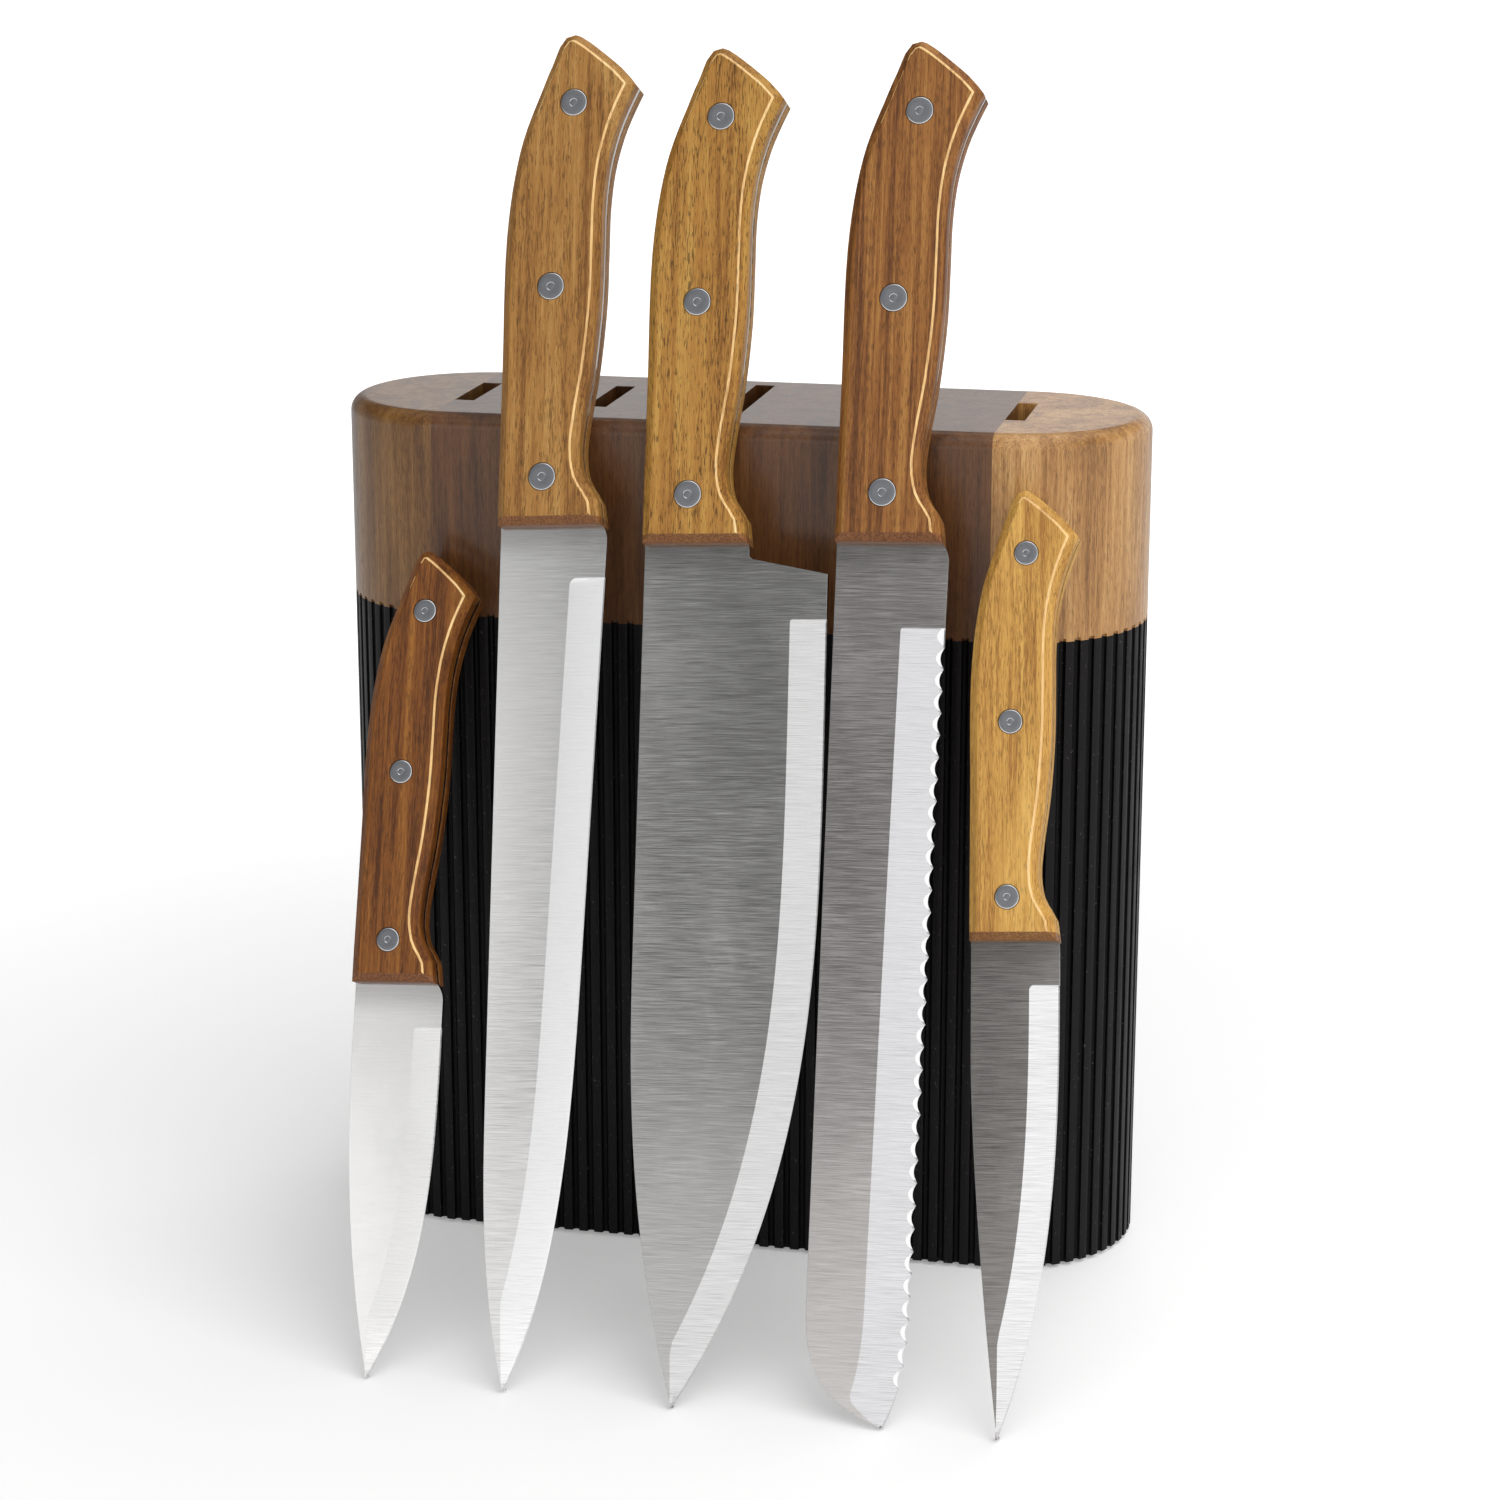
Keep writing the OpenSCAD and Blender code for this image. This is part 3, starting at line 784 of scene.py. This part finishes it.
def handled_group():
    """Faint marks of handling: a mask of smears and specks, in millimetres."""
    g = bpy.data.node_groups.new("Handled", "ShaderNodeTree")
    socket(g, "Place", "Vector", "INPUT")
    socket(g, "Amount", "Float", "INPUT", 0.5)
    socket(g, "Smears", "Float", "OUTPUT")
    socket(g, "Specks", "Float", "OUTPUT")
    b = Bench(g)
    gi = g.nodes.new("NodeGroupInput")
    go = g.nodes.new("NodeGroupOutput")
    smear = b.span(b.noise(b.drawn(gi.outputs["Place"], 0.07, 0.07, 0.05), 1, 4, 0.6, 0.8),
                   0.45, 0.75)
    speck = b.span(b.noise(gi.outputs["Place"], 1.6, 1, 0.4), 0.72, 0.78)
    g.links.new(b.math("MULTIPLY", smear, gi.outputs["Amount"]), go.inputs["Smears"])
    g.links.new(b.math("MULTIPLY", speck, gi.outputs["Amount"]), go.inputs["Specks"])
    return g


GRAIN, BRUSHING, HANDLED = grain_group(), brushing_group(), handled_group()


def finish_start(name):
    """A material with its Principled shader, and the piece's own place in millimetres."""
    m = bpy.data.materials.new(name)
    m.use_nodes = True
    b = Bench(m.node_tree)
    shader = m.node_tree.nodes["Principled BSDF"]
    place = b.node("TexCoord").outputs["Object"]
    return m, b, shader, place


def in_mm(b, place, matrix=None, shift=(0, 0, 0)):
    """The place in millimetres, brought back to where the piece was made."""
    if matrix is not None:
        loc, turn = matrix.to_translation(), matrix.to_3x3().to_euler("XYZ")
        place = b.node("Mapping", {"Vector": place, "Location": loc, "Rotation": turn},
                       vector_type="TEXTURE").outputs[0]
    n = b.node("Mapping", {"Vector": place, "Location": shift, "Scale": (1000, 1000, 1000)})
    return n.outputs[0]


def use(b, group, inputs):
    n = b.tree.nodes.new("ShaderNodeGroup")
    n.node_tree = group
    for key, value in inputs.items():
        b.feed(value, n.inputs[key])
    return n.outputs


def bumped(b, shader, height, strength, distance):
    n = b.node("Bump", {"Height": height, "Strength": strength, "Distance": distance})
    b.feed(n.outputs[0], shader.inputs["Normal"])


def wood_finish(name, light, middle, dark, pores, bands, matrix=None, shift=(0, 0, 0),
                foot=None, coat=0.08, gloss=0.08, bump=0.12):
    """Lacquered hardwood. foot: height of a handle's end grain, in millimetres."""
    m, b, shader, place = finish_start(name)
    p = in_mm(b, place, matrix, shift)
    grain = use(b, GRAIN, {"Place": p, "Light": light, "Middle": middle, "Dark": dark,
                           "Pores": pores, "Bands": bands})
    marks = use(b, HANDLED, {"Place": p, "Amount": 0.6})
    tint = grain["Color"]
    if foot is not None:
        z = b.node("SeparateXYZ", {0: p}).outputs[2]
        end = b.span(b.math("SUBTRACT", z, foot + shift[2]), 2.0, 1.85)
        dots = b.noise(b.drawn(p, 2.6, 2.6, 2.6), 1, 2, 0.6)
        end_wood = b.mix(b.span(dots, 0.35, 0.7), colour(92, 52, 30), colour(150, 100, 62))
        tint = b.mix(b.math("MULTIPLY", end, 0.85), tint, end_wood)
    b.feed(tint, shader.inputs["Base Color"])
    rough = b.math("ADD", b.math("ADD", grain["Gloss"], gloss),
                   b.math("MULTIPLY", marks["Smears"], 0.12))
    b.feed(rough, shader.inputs["Roughness"])
    shader.inputs["Coat Weight"].default_value = coat
    shader.inputs["Coat Roughness"].default_value = 0.22
    shader.inputs["Specular IOR Level"].default_value = 0.3
    bumped(b, shader, grain["Height"], bump, 0.0002)
    return m


def scallop_highlight_mask(b, p, k):
    """Mask of the crescents inside the scallops, where the real knife has ground facets, from the
    edge's own curve; it paints them white as a painted highlight.
    """
    x, _, z = b.node("SeparateXYZ", {0: p}).outputs[:3]
    rise, power = k["rise"]
    low = k["w"] - k["taper"]
    full = b.math("MULTIPLY_ADD", z, k["taper"] / k["l"], low)
    curl = b.math("POWER", b.math("MAXIMUM", b.math("MULTIPLY_ADD", z, -1 / (rise * k["l"]), 1), 0),
                  power)
    full = b.math("MULTIPLY_ADD", curl, k["drop"] - low, full)
    turn = b.math("FRACT", b.math("DIVIDE", b.math("SUBTRACT", z, PLAIN_TIP), SCALLOP_PITCH))
    off = b.math("MULTIPLY", b.math("SUBTRACT", turn, 0.5), SCALLOP_PITCH)
    arc = b.math("SQRT", b.math("SUBTRACT", SCALLOP_R ** 2, b.math("MULTIPLY", off, off)))
    bite = b.math("MAXIMUM", b.math("ADD", arc, SCALLOP_DEPTH - SCALLOP_R), 0.0)
    inner = b.math("SUBTRACT", full, b.math("MULTIPLY", bite, 2.2))
    face = b.span(b.math("SUBTRACT", x, inner), 0.0, 0.15)
    return b.math("MULTIPLY", face, b.math("GREATER_THAN", z, PLAIN_TIP))


def steel_finish(name, tone, depth, gloss, matrix=None, bump=0.05, foot=None, teeth=None):
    """Brushed steel, the scratches across the blade. foot: where the handle starts, for painted
    shade on the blade next to it. teeth: the bread knife, for a painted highlight in its scallops.
    """
    m, b, shader, place = finish_start(name)
    p = in_mm(b, place, matrix)
    brush = use(b, BRUSHING, {"Place": p, "Tone": tone, "Depth": depth, "Gloss": gloss})
    marks = use(b, HANDLED, {"Place": p, "Amount": 0.5})
    tint = brush["Color"]
    # Painted shade: the flat's last 9 mm towards the handle darkened to a grey-brown tone.
    if foot is not None:
        z = b.node("SeparateXYZ", {0: p}).outputs[2]
        tint = b.mix(b.math("MULTIPLY", b.span(z, foot - 9, foot - 1), 0.35), tint,
                     colour(92, 90, 84))
    if teeth is not None:
        # Painted highlight: the scallops' crescents painted pure white.
        tint = b.mix(scallop_highlight_mask(b, p, teeth), tint, colour(255, 255, 255))
    b.feed(tint, shader.inputs["Base Color"])
    shader.inputs["Metallic"].default_value = 1.0
    b.feed(b.math("ADD", brush["Gloss"], b.math("MULTIPLY", marks["Smears"], 0.05)),
           shader.inputs["Roughness"])
    bumped(b, shader, brush["Height"], bump, 0.00006)
    return m


def lacquer_finish():
    """Satin black paint over wood: dust, the grain showing through, and the flute crests painted
    lighter than the grooves as a painted highlight and painted shade.
    """
    m, b, shader, place = finish_start("black_lacquer")
    p = in_mm(b, place)
    marks = use(b, HANDLED, {"Place": p, "Amount": 1.0})
    skin = b.noise(b.drawn(p, 1.4, 1.4, 0.5), 1, 3, 0.6)
    x, y, _ = b.node("SeparateXYZ", {0: p}).outputs[:3]
    side = b.math("MAXIMUM", b.math("SUBTRACT", b.math("ABSOLUTE", x), straight / MM), 0.0)
    out = b.math("SQRT", b.math("ADD", b.math("MULTIPLY", side, side),
                                b.math("MULTIPLY", y, y)))
    # Painted highlight and shade: the crests take a lighter black than the grooves between them.
    painted_crest_light = b.span(out, end_r / MM - 0.35, end_r / MM - 0.05)
    tint = b.mix(painted_crest_light, colour(6, 5, 6), colour(22, 20, 22))
    tint = b.mix(b.math("MULTIPLY", b.span(skin, 0.4, 0.8), 0.4), tint, colour(26, 24, 26))
    tint = b.mix(b.math("MULTIPLY", marks["Specks"], 0.35), tint, colour(120, 116, 112))
    b.feed(tint, shader.inputs["Base Color"])
    b.feed(b.math("ADD", b.math("MULTIPLY", skin, 0.16),
                  b.math("ADD", 0.32, b.math("MULTIPLY", marks["Smears"], 0.12))),
           shader.inputs["Roughness"])
    shader.inputs["Specular IOR Level"].default_value = 0.16
    bumped(b, shader, skin, 0.15, 0.0001)
    return m


def pad_finish():
    """Dark rubber with a fine dimpled grain."""
    m, b, shader, place = finish_start("pad_rubber")
    p = in_mm(b, place)
    grain = b.noise(p, 1.8, 3, 0.6)
    b.feed(b.mix(b.span(grain, 0.3, 0.7), colour(24, 24, 25), colour(44, 43, 42)),
           shader.inputs["Base Color"])
    b.feed(b.math("ADD", 0.7, b.math("MULTIPLY", grain, 0.2)), shader.inputs["Roughness"])
    bumped(b, shader, grain, 0.3, 0.0002)
    return m


def floor_finish():
    m, b, shader, place = finish_start("paper_floor")
    shader.inputs["Base Color"].default_value = (0.8, 0.8, 0.8, 1)
    shader.inputs["Roughness"].default_value = 0.7
    shader.inputs["Specular IOR Level"].default_value = 0.1
    shader.inputs["Emission Color"].default_value = (1, 1, 1, 1)
    away = b.node("VectorMath", {0: place}, operation="LENGTH").outputs["Value"]
    seen = b.node("LightPath").outputs["Is Camera Ray"]
    b.feed(b.math("MULTIPLY", seen, b.span(away, 0.2, 0.8, 0.25, 0.7)),
           shader.inputs["Emission Strength"])
    return m


# ---------------------------------------------------------------- making everything
def dress(piece, body, materials, nodes):
    for m in materials:
        piece.data.materials.append(m)
    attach(piece, body)
    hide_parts(*nodes)


LEFT_END = wood_finish("acacia_left", colour(143, 105, 56), colour(116, 78, 36),
                       colour(80, 49, 20), 0.5, 0.45, shift=(13, 4, 30), coat=0.7)
MIDDLE = wood_finish("acacia_middle", colour(114, 74, 37), colour(93, 56, 23),
                     colour(60, 32, 10), 0.45, 0.3, shift=(211, 64, 90), coat=0.7)
RIGHT_END = wood_finish("acacia_right", colour(203, 160, 101), colour(172, 124, 68),
                        colour(125, 84, 41), 0.5, 0.45, shift=(417, 31, 57), coat=0.7)
BLACK = lacquer_finish()
RUBBER = pad_finish()

staves = cap_staves()
for i, stave in enumerate(staves):
    look = LEFT_END if i == 0 else RIGHT_END if i == 5 else MIDDLE
    dress(stave, "block", [look], ["cap_stave_%d" % (i + 1)])
dress(fluted_body(), "block", [BLACK],
      ["body_stave_%d" % i for i in range(1, 7)])
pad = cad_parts["base_pad"]
pad.data.materials.clear()
pad.data.materials.append(RUBBER)

HANDLE_WOODS = {
    "paring": ((150, 97, 39), (122, 71, 25), (77, 40, 12), 0.6, 0.6),
    "slicing": ((180, 138, 77), (159, 112, 54), (116, 74, 31), 0.7, 0.5),
    "chef": ((186, 143, 70), (165, 116, 50), (121, 76, 27), 0.95, 0.5),
    "bread": ((165, 115, 57), (139, 88, 39), (95, 55, 23), 0.6, 0.9),
    "utility": ((220, 176, 96), (200, 151, 74), (157, 108, 49), 0.5, 0.4),
}
# One steel, in a lighter or darker tone for each blade's flats and grinds: painted reflection of
# how bright each face shows.
FLAT_TONES_AND_REFLECTION = {"paring": (250, 249, 248), "slicing": (246, 245, 244), "chef": (216, 215, 213),
         "bread": (230, 226, 223), "utility": (184, 180, 176)}
GROUND_TONES_AND_REFLECTION = {"paring": (248, 247, 246), "slicing": (252, 252, 253), "chef": (222, 221, 221),
           "bread": (225, 224, 226), "utility": (240, 239, 240)}
# One steel in two tones: the rims and the ring round each pin are painted light as a painted
# highlight against a darker face.
RIVET_FACE = steel_finish("rivet_face", colour(140, 142, 146), 0.25, 0.42)
RIVET_RIM_HIGHLIGHT = steel_finish("rivet_rim_highlight", colour(225, 226, 228), 0.15, 0.2)

blanks = {}
for size in HANDLES:
    blanks[size] = (scale_blank(size), rivet_heads(size), tang(size))

MIRROR = Matrix.Scale(-1, 4, (0, 1, 0))
for n, (name, k) in enumerate(KNIVES.items()):
    stand = standing(k)
    grip = stand @ Matrix.Translation((0, 0, k["l"] * MM))
    scale, rivets, plate = blanks[k["size"]]
    body = name + "_knife"
    light, middle, dark, pores, bands = HANDLE_WOODS[name]
    shift = (37 * n, 23 * n, 150 * n)
    wood = wood_finish(name + "_wood", colour(*light), colour(*middle), colour(*dark), pores,
                       bands, stand, shift, foot=k["l"])
    # Arris finish: paler wood with a painted highlight, laid on the arrises facing right and up.
    arris_pale_and_highlight = wood_finish(name + "_arris", colour(246, 212, 152), colour(232, 190, 126),
                        colour(196, 148, 88), pores * 0.5, bands, stand, shift, foot=k["l"],
                        coat=0.35, gloss=0.0)
    flat = steel_finish(name + "_flat", colour(*FLAT_TONES_AND_REFLECTION[name]), 0.5, 0.15, stand, 0.05, k["l"])
    ground = steel_finish(name + "_ground", colour(*GROUND_TONES_AND_REFLECTION[name]), 1.0, 0.15, stand, 0.05,
                          teeth=k if name == "bread" else None)

    blade = forge_blade(name)
    top = (k["l"] - k["gap"]) * MM
    blade = joined([blade, copy_of(plate, "tang", Matrix.Translation((0, 0, k["l"] * MM)))],
                   name + "_blade_steel")
    marked(blade, lambda c, n: c.z < top and abs(n.y) < 0.9995)
    blade.data.transform(stand)
    smooth(blade, 3)
    dress(blade, body, [flat, ground], [name + "_blade"])
    for side, turn in (("front", grip), ("back", grip @ MIRROR)):
        piece = copy_of(scale, name + "_" + side + "_wood", turn)
        smooth(piece, 25)
        worked(piece, "WEIGHTED_NORMAL", keep_sharp=True)
        dress(piece, body, [wood, arris_pale_and_highlight], ["%s_%s_scale" % (name, side)])
        heads = copy_of(rivets, name + "_" + side + "_rivets", turn)
        smooth(heads, 30)
        dress(heads, body, [RIVET_FACE, RIVET_RIM_HIGHLIGHT],
              [name + ("_rivet_tubes" if side == "front" else "_rivet_pins")])
for three in blanks.values():
    for piece in three:
        scrap(piece)

# ---------------------------------------------------------------- studio
bpy.ops.mesh.primitive_plane_add(size=12, location=(0, 0, 0))
floor = named("studio_floor")
floor.data.materials.append(floor_finish())


def lamp(name, azimuth, elevation, distance, width, height, power):
    """A large soft light that looks at the block from an azimuth to the right of the front.
    The steel mirrors the room's walls instead of it."""
    a, e = math.radians(azimuth), math.radians(elevation)
    aim = Vector((0, 0, 0.12))
    spot = aim + distance * Vector((math.sin(a) * math.cos(e), -math.cos(a) * math.cos(e),
                                    math.sin(e)))
    light = bpy.data.lights.new(name, "AREA")
    light.shape, light.size, light.size_y, light.energy = "RECTANGLE", width, height, power
    holder = bpy.data.objects.new(name, light)
    holder.location = spot
    holder.rotation_euler = (aim - spot).to_track_quat("-Z", "Y").to_euler()
    holder.visible_glossy = False
    bpy.context.collection.objects.link(holder)


lamp("right_key", 52, 42, 2.2, 2.2, 2.2, 26)
lamp("front_fill", -8, 30, 2.6, 1.6, 1.2, 5)
lamp("rear_fill", 160, 50, 2.4, 1.6, 1.2, 8)


# The room's walls: brightness at each height in degrees, and lit screens between two azimuths
# with the softness of their sides, their brightness and the heights where they fade out
WALLS = ((0, 1.0), (14, 0.9), (18, 0.6), (23, 0.1), (31, 0.16), (45, 0.45), (90, 2.0))
SCREENS = ((-33, -17, 1.5, 1.2, 24, 35), (-6, 44, 1.2, 1.0, 50, 62))


def studio_walls():
    """The pale room round the table: its brightness by height, and two tall lit screens."""
    world = bpy.data.worlds.new("studio")
    bpy.context.scene.world = world
    world.use_nodes = True
    b = Bench(world.node_tree)
    x, y, z = b.node("SeparateXYZ", {0: b.node("TexCoord").outputs["Generated"]}).outputs[:3]
    turn = b.math("DEGREES", b.math("ARCTAN2", x, b.math("MULTIPLY", y, -1.0)))
    up = b.math("DEGREES", b.math("ARCSINE", z))
    walls = b.node("ValToRGB", {0: b.math("DIVIDE", up, 90.0, clamp=True)})
    stops = walls.color_ramp.elements
    for degrees, _ in WALLS[1:-1]:
        stops.new(degrees / 90)
    for stop, (_, level) in zip(stops, WALLS):
        stop.color = (level, level, level, 1)

    def screen(left, right, soft, level, low, high):
        wide = b.math("MULTIPLY", b.span(turn, left - soft, left + soft),
                      b.span(turn, right + soft, right - soft))
        tall = b.math("MULTIPLY", b.span(up, 1, 6), b.span(up, high, low))
        return b.math("MULTIPLY", b.math("MULTIPLY", wide, tall), level)

    flag = b.math("MULTIPLY", b.span(turn, -165, -150), b.span(turn, -34, -44))
    shade = b.math("SUBTRACT", 1.0, b.math("MULTIPLY", flag, 0.7))
    lit = b.math("ADD", screen(*SCREENS[0]), screen(*SCREENS[1]))
    shaded = b.mix(1.0, walls.outputs[0], b.node("CombineColor", {0: shade, 1: shade, 2: shade})
                   .outputs[0], "MULTIPLY")
    glow = b.mix(1.0, shaded, b.node("CombineColor", {0: lit, 1: lit, 2: lit}).outputs[0],
                 "LIGHTEN")
    sky = world.node_tree.nodes["Background"]
    b.feed(glow, sky.inputs["Color"])
    sky.inputs["Strength"].default_value = 1.0


studio_walls()

lens = bpy.data.cameras.new("camera")
camera = bpy.data.objects.new("camera", lens)
bpy.context.collection.objects.link(camera)
camera.location = (0.180, -0.832, 0.365)
camera.rotation_euler = (math.radians(90 - 13.82), 0, math.radians(12.13))
lens.lens, lens.sensor_width, lens.shift_y = 82.1, 36, -0.08
lens.clip_start = 0.02
bpy.context.scene.camera = camera
bpy.context.scene.view_settings.view_transform = "Standard"
